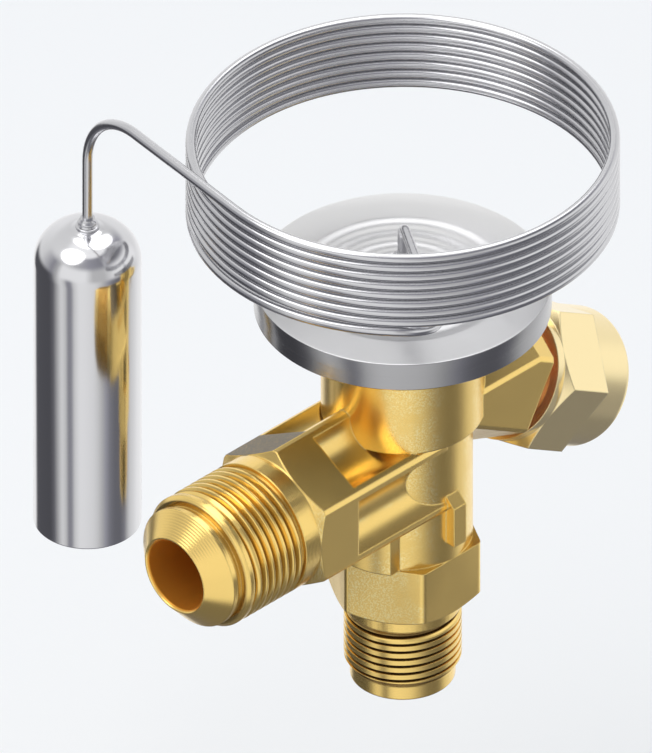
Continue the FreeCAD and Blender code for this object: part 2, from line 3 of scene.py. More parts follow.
import bpy
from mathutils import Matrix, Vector


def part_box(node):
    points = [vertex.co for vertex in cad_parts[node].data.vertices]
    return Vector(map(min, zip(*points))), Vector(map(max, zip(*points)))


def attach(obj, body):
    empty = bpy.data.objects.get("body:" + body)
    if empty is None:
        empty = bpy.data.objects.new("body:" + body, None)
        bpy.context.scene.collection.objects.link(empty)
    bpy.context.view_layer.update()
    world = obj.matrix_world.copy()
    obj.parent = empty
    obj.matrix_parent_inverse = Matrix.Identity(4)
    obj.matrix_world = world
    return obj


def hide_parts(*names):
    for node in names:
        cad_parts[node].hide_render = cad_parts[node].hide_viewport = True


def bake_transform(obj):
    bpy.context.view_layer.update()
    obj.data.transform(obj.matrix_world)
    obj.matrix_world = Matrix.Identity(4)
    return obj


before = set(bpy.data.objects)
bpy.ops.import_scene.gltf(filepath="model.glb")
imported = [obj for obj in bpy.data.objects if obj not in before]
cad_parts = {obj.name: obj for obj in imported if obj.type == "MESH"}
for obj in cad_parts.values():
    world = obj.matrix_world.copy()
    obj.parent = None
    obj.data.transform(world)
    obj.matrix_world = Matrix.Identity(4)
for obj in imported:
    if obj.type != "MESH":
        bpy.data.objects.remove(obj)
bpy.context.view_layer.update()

# A millimetre, and how near two points are before they are merged, all in metres
MM = 0.001
MERGE = 1e-6
NODE_MERGE = 2e-6

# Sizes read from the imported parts
cover_low, cover_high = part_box("head_cover")
bulb_low, bulb_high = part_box("sensing_bulb")
head_ferrule_low, head_ferrule_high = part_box("head_ferrule")
bulb_ferrule_low, bulb_ferrule_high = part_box("bulb_ferrule")
spring_low, spring_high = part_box("superheat_spring")
spring_middle = 0.5 * (spring_low.z + spring_high.z)

# Threads
inlet_thread_r = 11.1 * MM
inlet_root_r = 10.2 * MM
inlet_thread_start = 3.2 * MM
inlet_thread_end = 16.0 * MM
inlet_pitch = 1.64 * MM
inlet_foot_share = 0.84
inlet_crest_share = 0.62
outlet_height = 51.7 * MM
outlet_thread_r = 13.45 * MM
outlet_root_r = 12.5 * MM
outlet_thread_start = 52.6 * MM
outlet_thread_end = 38.9 * MM
outlet_pitch = 1.78 * MM
outlet_foot_share = 0.92
outlet_crest_share = 0.22
thread_buried = 0.3 * MM
thread_margin = 0.6 * MM

# Capillary and coil
capillary_r = 1.0 * MM
capillary_start = 1.6 * MM
coil_r = 39.8 * MM
coil_pitch = 2.07 * MM
coil_bottom = 105.85 * MM
coil_top_angle = 172.9
coil_turns = 8.0
coil_segments = 108
coil_droop = 0.9 * MM
coil_droop_share = 0.45
leg_height = 102.5 * MM
leg_bend = 3.0 * MM
leg_heading = 237.0
join_bend = 8.0 * MM
run_length = 45.15 * MM
run_rise = 0.5 * MM
run_bend = 14.2 * MM

# Head
head_r = 0.5 * (cover_high.x - cover_low.x)
head_top = cover_low.z + 2.95 * MM
head_rim_edge = 0.18 * MM
head_plate = 1.1 * MM
head_inside_r = 23.0 * MM
dish_r = 20.5 * MM
dish_slope = 2.4 * MM
dish_depth = 0.3 * MM
boss_r = 4.4 * MM
boss_edge = 0.4 * MM

# Soft rings pressed into the cover, each a radius, a half width and a rise in millimetres
cover_rings = ((16.4, 1.7, 0.10), (12.8, 1.7, 0.12), (9.2, 1.7, 0.14))

# Setting spindle: its apex on the valve axis and its way out through the housing
spindle_apex = 71.0 * MM
spindle_slope = math.radians(30.0)
spindle_way = Vector((math.cos(spindle_slope), 0.0, -math.sin(spindle_slope)))

# Bulb
bulb_r = 0.5 * (bulb_high.x - bulb_low.x)
bulb_shoulder = 7.4 * MM
bulb_edge = 0.35 * MM
bulb_crown = 0.2 * MM
bulb_place = Vector((0.5 * (bulb_low.x + bulb_high.x), 0.5 * (bulb_low.y + bulb_high.y), 0.0))


# Modelling helpers
def only(piece):
    """Leaves one piece selected and active."""
    bpy.ops.object.select_all(action="DESELECT")
    piece.select_set(True)
    bpy.context.view_layer.objects.active = piece


def edit(piece):
    only(piece)
    bpy.ops.object.mode_set(mode="EDIT")
    bpy.ops.mesh.select_all(action="SELECT")


def finish_mesh(piece, angle=30.0):
    """Merges doubles, points the faces outwards and smooths all but the sharp edges."""
    edit(piece)
    bpy.ops.mesh.remove_doubles(threshold=MERGE)
    bpy.ops.mesh.normals_make_consistent(inside=False)
    bpy.ops.object.mode_set(mode="OBJECT")
    bpy.ops.object.shade_smooth_by_angle(angle=math.radians(angle))


def settle(piece):
    only(piece)
    bpy.ops.object.transform_apply(location=True, rotation=True, scale=True)


def lathe(name, profile, sides=128, close_start=True, close_end=True):
    """A turned piece about Z: a circle extruded and scaled from one (radius, height) corner to the next."""
    inset_share = 0.4
    radius, height = profile[0]
    bpy.ops.object.select_all(action="DESELECT")
    bpy.ops.mesh.primitive_circle_add(vertices=sides, radius=radius, fill_type="NOTHING",
                                      location=(0, 0, height))
    piece = bpy.context.object
    piece.name = name
    settle(piece)
    edit(piece)
    if close_start:
        bpy.ops.mesh.edge_face_add()
        bpy.ops.mesh.inset(thickness=inset_share * radius)
        bpy.ops.mesh.select_all(action="DESELECT")
        bpy.ops.mesh.select_non_manifold()
    for next_radius, next_height in profile[1:]:
        bpy.ops.mesh.extrude_edges_move(TRANSFORM_OT_translate={"value": (0, 0, next_height - height)})
        scale = next_radius / radius
        bpy.ops.transform.resize(value=(scale, scale, 1.0), center_override=(0, 0, next_height))
        radius, height = next_radius, next_height
    if close_end:
        bpy.ops.mesh.edge_face_add()
        bpy.ops.mesh.inset(thickness=inset_share * radius)
    bpy.ops.object.mode_set(mode="OBJECT")
    return piece


def arc(centre_r, centre_z, radius, start, end, steps):
    """Corners along part of a circle in the turning plane, angles in degrees from the outside."""
    corners = []
    for step in range(steps + 1):
        angle = math.radians(start + (end - start) * step / steps)
        corners.append((centre_r + radius * math.cos(angle), centre_z + radius * math.sin(angle)))
    return corners


def copy_of_node(node, name):
    """A merged copy of a CAD node's mesh, free to be cut."""
    piece = bpy.data.objects.new(name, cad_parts[node].data.copy())
    bpy.context.scene.collection.objects.link(piece)
    edit(piece)
    bpy.ops.mesh.customdata_custom_splitnormals_clear()
    bpy.ops.mesh.remove_doubles(threshold=NODE_MERGE)
    bpy.ops.object.mode_set(mode="OBJECT")
    return piece


def combine(piece, cutter, operation):
    """Cuts a piece with another, which is then thrown away."""
    only(piece)
    modifier = piece.modifiers.new("cut", "BOOLEAN")
    modifier.operation = operation
    modifier.solver = "EXACT"
    modifier.object = cutter
    bpy.ops.object.modifier_apply(modifier=modifier.name)
    bpy.data.objects.remove(cutter)


def turn_to_outlet(piece):
    """Local +Z becomes -X at the outlet's height."""
    piece.rotation_euler = (0.0, math.radians(-90.0), 0.0)
    piece.location = (0.0, 0.0, outlet_height)
    settle(piece)


def band_cutter(low, high, root_r, outer_r):
    """A plain ring that takes a threaded stretch down to its root."""
    profile = [(root_r, low), (outer_r, low), (outer_r, high), (root_r, high), (root_r, low)]
    ring = lathe("band", profile, 160, close_start=False, close_end=False)
    finish_mesh(ring)
    return ring


def section(name, corners):
    """An outline in the XZ plane, drawn by extruding one point from corner to corner."""
    first = Vector((corners[0][0], 0.0, corners[0][1]))
    bpy.ops.object.select_all(action="DESELECT")
    bpy.ops.mesh.primitive_plane_add(size=1.0 * MM, location=first)
    piece = bpy.context.object
    piece.name = name
    settle(piece)
    edit(piece)
    bpy.ops.mesh.merge(type="CENTER")
    last = corners[0]
    for corner in corners[1:]:
        step = (corner[0] - last[0], 0.0, corner[1] - last[1])
        bpy.ops.mesh.extrude_vertices_move(TRANSFORM_OT_translate={"value": step})
        last = corner
    bpy.ops.object.mode_set(mode="OBJECT")
    return piece


def thread(name, low, high, root_r, crest_r, pitch, base_share, crest_share, sides=120):
    """A helical ridge whose ends run out along a cone, as a die leaves them."""
    buried_r = root_r - thread_buried
    foot = 0.5 * base_share * pitch
    crest = 0.5 * crest_share * pitch
    start = low - pitch
    corners = [(buried_r, start - foot), (root_r, start - foot), (crest_r, start - crest)]
    corners += [(crest_r, start + crest), (root_r, start + foot), (buried_r, start + foot)]
    corners += [(buried_r, start - foot)]
    ridge = section(name, corners)
    edit(ridge)
    bpy.ops.mesh.remove_doubles(threshold=MERGE)
    bpy.ops.object.mode_set(mode="OBJECT")
    screw = ridge.modifiers.new("screw", "SCREW")
    screw.axis = "Z"
    screw.angle = 2.0 * math.pi
    screw.screw_offset = pitch
    screw.iterations = int(math.ceil((high - low) / pitch)) + 2
    screw.steps = sides
    screw.render_steps = sides
    bpy.ops.object.modifier_apply(modifier=screw.name)
    edit(ridge)
    bpy.ops.mesh.select_all(action="DESELECT")
    bpy.ops.mesh.select_non_manifold()
    bpy.ops.mesh.fill()
    bpy.ops.object.mode_set(mode="OBJECT")
    finish_mesh(ridge, 40.0)
    rise = crest_r + 0.1 * MM - buried_r
    profile = [(buried_r, low), (buried_r + rise, low + rise)]
    profile += [(buried_r + rise, high - rise * 1.3), (buried_r, high)]
    envelope = lathe("envelope", profile, 160)
    finish_mesh(envelope)
    combine(ridge, envelope, "INTERSECT")
    finish_mesh(ridge, 40.0)
    return ridge


# Brass body with its two threaded stretches
def make_body():
    body = copy_of_node("valve_body", "threaded_body")
    inlet_band = band_cutter(inlet_thread_start, inlet_thread_end, inlet_root_r,
                             inlet_thread_r + thread_margin)
    combine(body, inlet_band, "DIFFERENCE")
    outlet_band = band_cutter(outlet_thread_end, outlet_thread_start, outlet_root_r,
                              outlet_thread_r + thread_margin)
    turn_to_outlet(outlet_band)
    combine(body, outlet_band, "DIFFERENCE")
    only(body)
    bpy.ops.object.shade_smooth_by_angle(angle=math.radians(25.0))
    return body


def make_inlet_thread():
    return thread("inlet_thread", inlet_thread_start, inlet_thread_end, inlet_root_r, inlet_thread_r,
                  inlet_pitch, inlet_foot_share, inlet_crest_share)


def make_outlet_thread():
    ridge = thread("outlet_thread", outlet_thread_end, outlet_thread_start, outlet_root_r, outlet_thread_r,
                   outlet_pitch, outlet_foot_share, outlet_crest_share)
    turn_to_outlet(ridge)
    return ridge


# Diaphragm head's pressed cover
def make_head_cover():
    """Flat rim round a dished centre with soft rings and a boss for the tube."""
    steps = 120
    sides = 192
    inner = head_r - head_rim_edge
    profile = [(head_inside_r, cover_low.z), (head_r, cover_low.z)]
    profile += arc(inner, head_top - head_rim_edge, head_rim_edge, 0.0, 90.0, 4)
    for step in range(1, steps):
        radius = inner - (inner - boss_r - 0.2 * MM) * step / steps
        inward = min(max((dish_r - radius) / dish_slope, 0.0), 1.0)
        height = head_top - dish_depth * inward * inward * (3.0 - 2.0 * inward)
        for crest_r, width, rise in cover_rings:
            away = abs(radius / MM - crest_r) / width
            if away < 1.0:
                height += rise * MM * (0.5 + 0.5 * math.cos(math.pi * away))
        profile.append((radius, height))
    top = cover_high.z
    inside = head_top - head_plate
    profile += [(boss_r, head_top - dish_depth), (boss_r, top - boss_edge), (boss_r - boss_edge, top)]
    profile += [(capillary_r, top), (capillary_r, inside), (head_inside_r, inside)]
    profile += [(head_inside_r, cover_low.z)]
    cover = lathe("pressed_cover", profile, sides, close_start=False, close_end=False)
    finish_mesh(cover, 35.0)
    return cover


def make_head_ferrule():
    """Tapered collar brazed round the tube where it leaves the cover."""
    low = head_ferrule_low.z
    high = head_ferrule_high.z
    radius = 0.5 * (head_ferrule_high.x - head_ferrule_low.x)
    waist = low + 0.4 * (high - low)
    profile = [(radius, low), (radius, waist - 0.3 * MM), (radius - 0.15 * MM, waist)]
    profile += [(radius - 1.0 * MM, high - 0.4 * MM), (radius - 1.4 * MM, high)]
    piece = lathe("brazed_ferrule", profile, 64)
    finish_mesh(piece)
    return piece


# Sensing bulb: drawn tube with a spun shoulder
def make_bulb():
    """Turned from the lower edge up the wall and over the crown."""
    side = bulb_r - bulb_shoulder
    knee = bulb_high.z - bulb_crown - bulb_shoulder
    profile = [(bulb_r - bulb_edge, bulb_low.z)]
    profile += arc(bulb_r - bulb_edge, bulb_low.z + bulb_edge, bulb_edge, -90.0, 0.0, 6)[1:]
    profile += arc(side, knee, bulb_shoulder, 0.0, 88.0, 28)
    profile += [(0.86 * side, bulb_high.z), (0.4 * side, bulb_high.z)]
    bulb = lathe("polished_bulb", profile, 128)
    bulb.location = bulb_place
    settle(bulb)
    finish_mesh(bulb, 40.0)
    return bulb


def make_bulb_ferrule():
    """Small necked collar between the bulb's crown and the tube."""
    low = bulb_ferrule_low.z
    high = bulb_ferrule_high.z
    radius = 0.5 * (bulb_ferrule_high.x - bulb_ferrule_low.x)
    profile = [(radius, low)] + arc(radius - 0.25 * MM, low + 0.25 * MM, 0.25 * MM, 0.0, 90.0, 4)
    profile += [(radius - 0.45 * MM, low + 0.55 * MM)]
    profile += arc(radius - 0.8 * MM, low + 1.2 * MM, 0.4 * MM, -60.0, 60.0, 5)
    profile += [(radius - 0.9 * MM, high), (capillary_r, high)]
    piece = lathe("bulb_neck", profile, 64)
    piece.location = bulb_place
    settle(piece)
    finish_mesh(piece)
    return piece


# Capillary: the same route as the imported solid's, round and smooth
def around(radius, angle, height):
    """A point at a radius from the valve's axis and a bearing in degrees."""
    turn = math.radians(angle)
    return Vector((radius * math.cos(turn), radius * math.sin(turn), height))


def capillary_route():
    """Up out of the head, out to the coil, round its turns, and over to the bulb."""
    bend_steps, join_steps, run_steps = 12, 24, 16
    route = [Vector((0, 0, head_top - capillary_start))]
    out = around(1.0, leg_heading, 0.0)
    for step in range(bend_steps + 1):
        angle = math.radians(90.0 * step / bend_steps)
        reach = leg_bend * (1.0 - math.cos(angle))
        route.append(out * reach + Vector((0, 0, leg_height - leg_bend + leg_bend * math.sin(angle))))
    centre_r = coil_r - join_bend
    swing = math.degrees(math.asin(join_bend / centre_r))
    join_angle = leg_heading - swing
    centre = around(centre_r, join_angle, 0.0)
    turn = 90.0 + swing
    for step in range(join_steps + 1):
        share = step / join_steps
        ease = share * share * (3.0 - 2.0 * share)
        height = leg_height + (coil_bottom - leg_height) * ease
        route.append(centre + around(join_bend, leg_heading + 90.0 - turn * share, height))
    sweep = join_angle - coil_top_angle + 360.0 * coil_turns
    total = int(round(sweep / 360.0 * coil_segments))
    for index in range(1, total + 1):
        share = index / total
        height = coil_bottom + sweep / 360.0 * coil_pitch * share
        sag = min(share * total / (coil_droop_share * coil_segments), 1.0)
        height -= coil_droop * math.sin(math.pi * sag) ** 2
        route.append(around(coil_r, join_angle - sweep * share, height))
    ahead = around(1.0, coil_top_angle - 90.0, 0.0)
    start = route[-1] + ahead * (run_length - run_bend) + Vector((0, 0, run_rise))
    for step in range(run_steps + 1):
        angle = math.radians(90.0 * step / run_steps)
        down = Vector((0, 0, -run_bend * (1.0 - math.cos(angle))))
        route.append(start + ahead * (run_bend * math.sin(angle)) + down)
    route.append(Vector((route[-1].x, route[-1].y, bulb_high.z)))
    return route


def make_capillary():
    """A path through every point of the route, given the tube's thickness and made a mesh."""
    bpy.ops.object.select_all(action="DESELECT")
    bpy.ops.curve.primitive_nurbs_path_add()
    tube = bpy.context.object
    tube.name = "drawn_capillary"
    curve = tube.data
    curve.splines.clear()
    route = capillary_route()
    spline = curve.splines.new("POLY")
    spline.points.add(len(route) - 1)
    for point, place in zip(spline.points, route):
        point.co = (place.x, place.y, place.z, 1.0)
    curve.dimensions = "3D"
    curve.bevel_depth = capillary_r
    curve.bevel_resolution = 5
    curve.use_fill_caps = True
    only(tube)
    bpy.ops.object.convert(target="MESH")
    tube = bpy.context.object
    settle(tube)
    finish_mesh(tube, 60.0)
    return tube


# Superheat spring: cut into a lower and an upper half at its middle
def make_half_spring(name, upper):
    """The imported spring, cut level at its middle and closed there."""
    spring = copy_of_node("superheat_spring", name)
    edit(spring)
    bpy.ops.mesh.bisect(plane_co=(0.0, 0.0, spring_middle), plane_no=(0.0, 0.0, 1.0), use_fill=True,
                        clear_inner=upper, clear_outer=not upper)
    bpy.ops.object.mode_set(mode="OBJECT")
    bpy.ops.object.shade_smooth_by_angle(angle=math.radians(70.0))
    return spring


# Shader building
class Value:
    """One socket of a material; arithmetic on it adds Math nodes."""

    def __init__(self, finish, socket):
        self.finish = finish
        self.socket = socket

    def maths(self, operation, first, second=0.0):
        return self.finish.node("ShaderNodeMath", {"operation": operation}, {0: first, 1: second})

    def __add__(self, other):
        return self.maths("ADD", self, other)

    def __radd__(self, other):
        return self.maths("ADD", other, self)

    def __sub__(self, other):
        return self.maths("SUBTRACT", self, other)

    def __rsub__(self, other):
        return self.maths("SUBTRACT", other, self)

    def __mul__(self, other):
        return self.maths("MULTIPLY", self, other)

    def __rmul__(self, other):
        return self.maths("MULTIPLY", other, self)

    def over(self, low, high):
        """0 below low, 1 above high, a soft step between."""
        return self.finish.node("ShaderNodeMapRange", {"interpolation_type": "SMOOTHSTEP"},
                                {"Value": self, "From Min": low, "From Max": high})

    def sine(self):
        return self.maths("SINE", self)

    def size(self):
        return self.maths("ABSOLUTE", self)


class Finish:
    """A node tree and the one way that nodes are added to it."""

    def __init__(self, tree):
        self.tree = tree
        tree.nodes.clear()

    def node(self, kind, settings, inputs, output=0):
        made = self.tree.nodes.new(kind)
        for key, setting in settings.items():
            if key == "stops":
                ramp = made.color_ramp
                while len(ramp.elements) > 1:
                    ramp.elements.remove(ramp.elements[-1])
                ramp.elements[0].position, ramp.elements[0].color = setting[0][0], (*setting[0][1], 1.0)
                for place, colour in setting[1:]:
                    ramp.elements.new(place).color = (*colour, 1.0)
            else:
                setattr(made, key, setting)
        for key, given in inputs.items():
            if isinstance(given, Value):
                self.tree.links.new(given.socket, made.inputs[key])
            else:
                made.inputs[key].default_value = given
        return None if output is None else Value(self, made.outputs[output])


def metal(name, varied, colour=None, lacquered=False):
    """A finish from varied(finish, place), with a plain colour where that gives none."""
    material = bpy.data.materials.new(name)
    material.use_nodes = True
    finish = Finish(material.node_tree)
    place = finish.node("ShaderNodeTexCoord", {}, {}, "Object")
    inputs = {"Metallic": 1.0}
    if colour:
        inputs["Base Color"] = (*colour, 1.0)
    if lacquered:
        inputs.update({"Coat Weight": 0.1, "Coat Roughness": 0.5})
    inputs.update(varied(finish, place))
    surface = finish.node("ShaderNodeBsdfPrincipled", {}, inputs)
    finish.node("ShaderNodeOutputMaterial", {}, {"Surface": surface}, None)
    return material


def axes(finish, vector):
    """The three numbers of a place or a direction."""
    return [finish.node("ShaderNodeSeparateXYZ", {}, {0: vector}, axis) for axis in range(3)]


def colour_mix(finish, share, first, second):
    return finish.node("ShaderNodeMix", {"data_type": "RGBA"}, {"Factor": share, 6: first, 7: second}, 2)


def noise(finish, place, scale, detail=2.0, roughness=0.5):
    inputs = {"Vector": place, "Scale": scale, "Detail": detail, "Roughness": roughness}
    return finish.node("ShaderNodeTexNoise", {}, inputs, "Fac")


def rounded_edges(finish, radius):
    return finish.node("ShaderNodeBevel", {"samples": 6}, {"Radius": radius})


def past(value, place, blur):
    """0 before a place and 1 beyond it, with a step of twice the blur."""
    return value.over(place - blur, place + blur)


def beyond(squared, low_r, high_r):
    """The same on a squared radius, from one radius to another."""
    return squared.over(low_r * low_r, high_r * high_r)


# Where the brass changes its finish, and where painted shade and painted bounce light fall
outlet_turned_x = -35.4 * MM
outlet_tip_x = -55.5 * MM
outlet_bore_end_x = -27.45 * MM
outlet_hexagon_x = -25.1 * MM
inlet_turned_z = 19.0 * MM
spigot_start = 27.5 * MM
spigot_x = 17.0 * MM
ring_rate = 17000.0
brass_edge = 0.45 * MM
thread_edge = 0.12 * MM
cap_edge = 0.4 * MM

# Colours of the body's brass, among them painted bounce light for the bore and painted shade for the
# spigot's gap, the outlet hexagon's upper back faces and the thread roots
plain_brass = (0.955, 0.68, 0.22, 1.0)
fleck_brass = (1.0, 0.82, 0.38, 1.0)
bore_painted_bounce_light = (0.85, 0.40, 0.05, 1.0)
spigot_gap_painted_shade = (0.50, 0.17, 0.06, 1.0)
upper_back_painted_shade = (0.17, 0.145, 0.11, 1.0)
root_shadow = (0.20, 0.12, 0.045, 1.0)


def brass_looks(finish, place, edge=brass_edge):
    """Upright cast faces carry bright flecks and turned ends carry fine tool rings; painted shadow darkens
    the thread roots, painted shade darkens the spigot's gap and the outlet hexagon's upper back faces, and
    painted bounce light turns the outlet bore amber.
    """
    x, y, z = axes(finish, place)
    normal = finish.node("ShaderNodeNewGeometry", {}, {}, "Normal")
    across, upward = axes(finish, normal)[1:]
    outlet_end = 1.0 - past(x, outlet_turned_x, 0.3 * MM)
    inlet_end = 1.0 - past(z, inlet_turned_z, 0.4 * MM)
    turned = outlet_end.maths("MAXIMUM", outlet_end, inlet_end)
    lift = z - outlet_height
    outlet_r2 = y * y + lift * lift
    inlet_r2 = x * x + y * y
    along_spindle = x * spindle_way.x + (z - spindle_apex) * spindle_way.z
    # The brass spigot in the gap between the housing and the seal cap: painted shade, a dark red-brown
    # standing in for the shadow in that gap
    spigot = past(along_spindle, spigot_start, 0.1 * MM) * past(x, spigot_x, 0.5 * MM)
    # Inside the outlet bore: painted bounce light, an amber colour standing in for light reflected between
    # the bore's walls; there the brass is also less metallic and rougher
    bore = (1.0 - beyond(outlet_r2, 7.35 * MM, 7.55 * MM)) * (1.0 - past(x, outlet_bore_end_x, 0.45 * MM))
    # Thread roots of the inlet and the outlet, where painted shadow falls
    inlet_root = beyond(inlet_r2, 9.0 * MM, 9.49 * MM) * (1.0 - beyond(inlet_r2, 10.54 * MM, 10.82 * MM))
    inlet_root *= past(z, inlet_thread_start, 0.1 * MM) * (1.0 - past(z, inlet_thread_end, 0.1 * MM))
    outlet_root = beyond(outlet_r2, 11.0 * MM, 12.0 * MM) * (1.0 - beyond(outlet_r2, 12.6 * MM, 13.05 * MM))
    outlet_root *= past(x, outlet_tip_x, 0.1 * MM) * (1.0 - past(x, -outlet_thread_end, 0.1 * MM))
    # Outlet hexagon faces that point up and toward the back: painted shade, a dark grey-brown broken by the
    # grain, with a rougher finish
    shaded_upper_back_faces = upward.over(0.80, 0.85) * across.over(0.42, 0.47)
    shaded_upper_back_faces *= (1.0 - past(x, outlet_hexagon_x, 0.1 * MM)) * (1.0 - turned)
    rings = (x * ring_rate).sine() * outlet_end + (z * ring_rate).sine() * inlet_end
    upright = 1.0 - upward.size().over(0.25, 0.45)
    front = (1.0 - across.over(-0.42, -0.30)) * across.over(-0.985, -0.95)
    grain = noise(finish, place, 3200.0, 3.0, 0.65)
    patches = noise(finish, place, 120.0, 3.0, 0.6).over(0.36, 0.58)
    flecks = grain.over(0.48, 0.57) * patches * (1.0 - turned) * upright * front
    tone = noise(finish, place, 160.0, 3.0, 0.6)
    colour = colour_mix(finish, flecks, plain_brass, fleck_brass)
    # Painted bounce light inside the outlet bore
    colour = colour_mix(finish, bore, colour, bore_painted_bounce_light)
    # Painted shade on the brass spigot in the gap under the seal cap
    colour = colour_mix(finish, spigot, colour, spigot_gap_painted_shade)
    # Painted shade on the outlet hexagon's upward faces toward the back
    colour = colour_mix(finish, shaded_upper_back_faces * (1.0 - grain.over(0.52, 0.62) * 0.35), colour, upper_back_painted_shade)
    # Painted shadow in the thread roots, strong on the inlet and lighter on the outlet
    colour = colour_mix(finish, inlet_root * 0.85 + outlet_root * 0.4, colour, root_shadow)
    bump = finish.node("ShaderNodeBump", {}, {
        "Strength": 0.10, "Distance": 0.12 * MM, "Height": rings * 0.35 + grain * 0.1,
        "Normal": rounded_edges(finish, edge),
    })
    rough = 0.20 - turned * 0.06 + tone * 0.10 + bore * 0.15 + shaded_upper_back_faces * 0.25
    return {"Base Color": colour, "Metallic": 0.94 - bore * 0.25, "Roughness": rough, "Normal": bump}


def thread_looks(finish, place):
    return brass_looks(finish, place, thread_edge)


def cap_looks(finish, place):
    tone = noise(finish, place, 220.0, 3.0, 0.6)
    grain = noise(finish, place, 2600.0, 2.0, 0.6)
    bump = finish.node("ShaderNodeBump", {}, {
        "Strength": 0.05, "Distance": 0.1 * MM, "Height": grain, "Normal": rounded_edges(finish, cap_edge),
    })
    return {"Metallic": 0.86, "Roughness": 0.14 + tone * 0.08, "Normal": bump}


def brushed_looks(finish, place):
    """Fine level streaks round the band, a darker grey on the band than on the top faces, and painted light
    that pales the cover toward the back.
    """
    stretched = finish.node("ShaderNodeMapping", {}, {"Vector": place, "Scale": (60.0, 60.0, 4200.0)}, 0)
    streaks = noise(finish, stretched, 1.0, 4.0, 0.7)
    facing = finish.node("ShaderNodeNewGeometry", {}, {}, "Normal")
    plate = axes(finish, facing)[2].over(0.5, 0.8)
    clouds = noise(finish, place, 120.0, 3.0, 0.6)
    height = streaks * (1.0 - plate)
    bump = finish.node("ShaderNodeBump", {}, {"Strength": 0.14, "Distance": 0.1 * MM, "Height": height})
    x, y = axes(finish, place)[:2]
    # Painted light: the cover's top faces run from a darker grey at the front to a paler grey at the back
    back = (x + y).over(-12.0 * MM, 26.0 * MM)
    cover = colour_mix(finish, back, (0.60, 0.60, 0.61, 1.0), (0.90, 0.90, 0.90, 1.0))
    colour = colour_mix(finish, plate, (0.43, 0.43, 0.44, 1.0), cover)
    rough = 0.13 + streaks * 0.12 + plate * 0.06 + clouds * plate * 0.12
    return {"Base Color": colour, "Roughness": rough, "Normal": bump}


def tube_looks(finish, place):
    grain = noise(finish, place, 900.0, 2.0, 0.5)
    return {"Roughness": 0.16 + grain * 0.08}


def polished_looks(finish, place):
    ripple = noise(finish, place, 55.0, 2.0, 0.5)
    bump = finish.node("ShaderNodeBump", {}, {"Strength": 0.05, "Distance": 0.8 * MM, "Height": ripple})
    return {"Roughness": 0.11 + ripple * 0.05, "Normal": bump}


def plain_looks(finish, place):
    tone = noise(finish, place, 300.0, 2.0, 0.5)
    return {"Roughness": 0.24 + tone * 0.12}


def rubber_looks(finish, place):
    tone = noise(finish, place, 500.0, 2.0, 0.5)
    return {"Metallic": 0.0, "Roughness": 0.55 + tone * 0.2}


brass = metal("body_brass", brass_looks, lacquered=True)
thread_brass = metal("thread_brass", thread_looks, lacquered=True)
cap_brass = metal("cap_brass", cap_looks, (0.98, 0.81, 0.45), lacquered=True)
inner_brass = metal("inner_brass", plain_looks, (0.76, 0.55, 0.24), lacquered=True)
head_steel = metal("brushed_head_steel", brushed_looks)
tube_steel = metal("drawn_tube_steel", tube_looks, (0.64, 0.64, 0.66))
bulb_steel = metal("polished_bulb_steel", polished_looks, (0.72, 0.72, 0.74))
steel = metal("machined_steel", plain_looks, (0.56, 0.56, 0.57))
spring_steel = metal("spring_steel", plain_looks, (0.45, 0.45, 0.47))
copper = metal("soft_copper", plain_looks, (0.72, 0.33, 0.16))
packing = metal("packing_rubber", rubber_looks, (0.02, 0.02, 0.02))


def dress(piece, material):
    piece.data.materials.clear()
    piece.data.materials.append(material)


def rides(piece, body, material):
    dress(piece, material)
    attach(piece, body)


def stands_for(piece, node, body, material):
    """A piece that takes the place of a CAD node."""
    rides(piece, body, material)
    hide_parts(node)


# Pieces that ride on the valve's body
stands_for(make_body(), "valve_body", "valve", brass)
rides(make_inlet_thread(), "valve", thread_brass)
rides(make_outlet_thread(), "valve", thread_brass)
stands_for(make_head_cover(), "head_cover", "valve", head_steel)
stands_for(make_head_ferrule(), "head_ferrule", "valve", tube_steel)
stands_for(make_capillary(), "capillary_tube", "valve", tube_steel)
stands_for(make_bulb(), "sensing_bulb", "valve", bulb_steel)
stands_for(make_bulb_ferrule(), "bulb_ferrule", "valve", tube_steel)

# Spring halves, each cut at the middle and closed there
for name, body, upper in (("spring_lower_half", "seat", False), ("spring_upper_half", "needle", True)):
    half = make_half_spring(name, upper)
    dress(half, spring_steel)
    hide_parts("superheat_spring")
    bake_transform(half)

# CAD nodes that are shown as they are
finishes = {
    "seal_cap": cap_brass, "cap_gasket": copper, "head_base": head_steel, "head_gasket": copper,
    "diaphragm": head_steel, "thrust_plate": steel, "push_rod": steel, "valve_cone": steel,
    "orifice_cage": steel, "orifice_seal": copper, "spring_seat": inner_brass,
    "adjusting_ring": inner_brass, "setting_spindle": steel, "packing_washer": inner_brass,
    "spindle_packing": packing, "gland_nut": inner_brass,
}
for node, material in finishes.items():
    dress(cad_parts[node], material)


# Studio: pale floor well below the part, soft world light, two round softboxes
floor_height = -0.06
floor_size = 6.0
floor_colour = (0.885, 0.897, 0.91, 1.0)
plain_sky = (0.75, 0.76, 0.775, 1.0)
under_sky = (0.17, 0.17, 0.19, 1.0)
top_sky = (1.1, 1.1, 1.1, 1.0)

